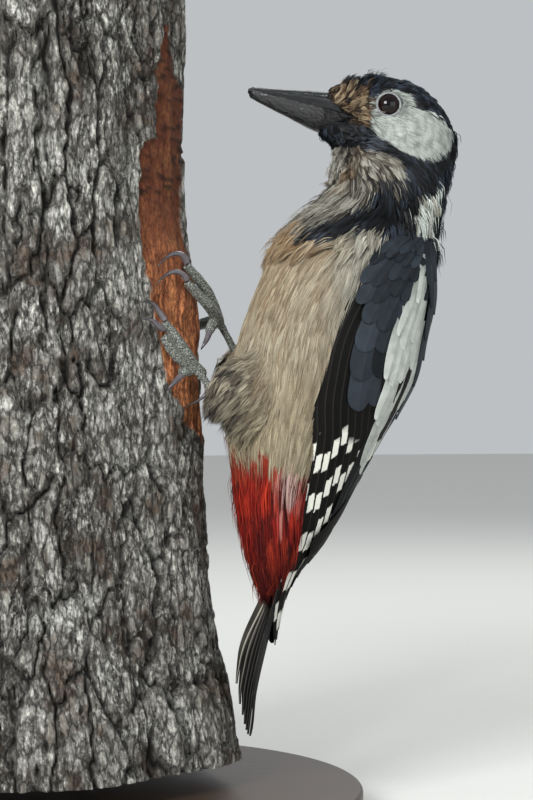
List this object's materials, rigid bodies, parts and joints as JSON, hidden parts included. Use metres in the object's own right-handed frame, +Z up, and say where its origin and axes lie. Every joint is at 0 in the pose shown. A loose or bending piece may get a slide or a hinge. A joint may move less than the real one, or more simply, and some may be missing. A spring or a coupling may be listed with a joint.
{
  "type": "great spotted woodpecker",
  "caption": "Life-size still model of a female great spotted woodpecker clinging to a short cut length of tree trunk, on a plain round display base.",
  "frame": {"origin": "middle of the round base's underside", "axes": "+Z up; the bird faces -X, towards the trunk, its back is +X and its left side is -Y"},
  "size_m": [0.2032, 0.176, 0.2563],
  "materials": {
    "plumage_head": "black, white and brown feathers, softly glossed on the crown",
    "plumage_neck": "matt buff-white feathers crossed by black bands",
    "plumage_body": "matt buff breast and belly, glossy black back",
    "plumage_vent": "matt loose crimson feathers",
    "plumage_thigh": "matt loose grey-brown feathers",
    "flight_feathers": "blue-black and brown-black vanes with white spots",
    "tail_feathers": "stiff black vanes, the outer ones barred with white",
    "bill_horn": "smooth slate-black horn",
    "eye": "wet dark red-brown",
    "foot_skin": "dry grey scales",
    "claw_horn": "smooth grey horn",
    "bark": "rough grey cracked bark with a rust-red inner layer laid bare",
    "stand_wood": "dark stained satin hardwood",
    "stand_steel": "brushed"
  },
  "bodies": {
    "root": {"head": "plumage_head", "neck": "plumage_neck", "trunk": "plumage_body", "vent": "plumage_vent", "thigh_left": "plumage_thigh", "thigh_right": "plumage_thigh", "wing_left": "flight_feathers", "wing_right": "flight_feathers", "tail": "tail_feathers", "bill_upper": "bill_horn", "bill_lower": "bill_horn", "eye_left": "eye", "eye_right": "eye", "foot_left": "foot_skin", "foot_right": "foot_skin", "claw_left_1": "claw_horn", "claw_left_2": "claw_horn", "claw_left_3": "claw_horn", "claw_left_4": "claw_horn", "claw_right_1": "claw_horn", "claw_right_2": "claw_horn", "claw_right_3": "claw_horn", "claw_right_4": "claw_horn", "perch_trunk": "bark", "stand_base": "stand_wood", "stand_rod_1": "stand_steel", "stand_rod_2": "stand_steel"}
  },
  "joints": []
}
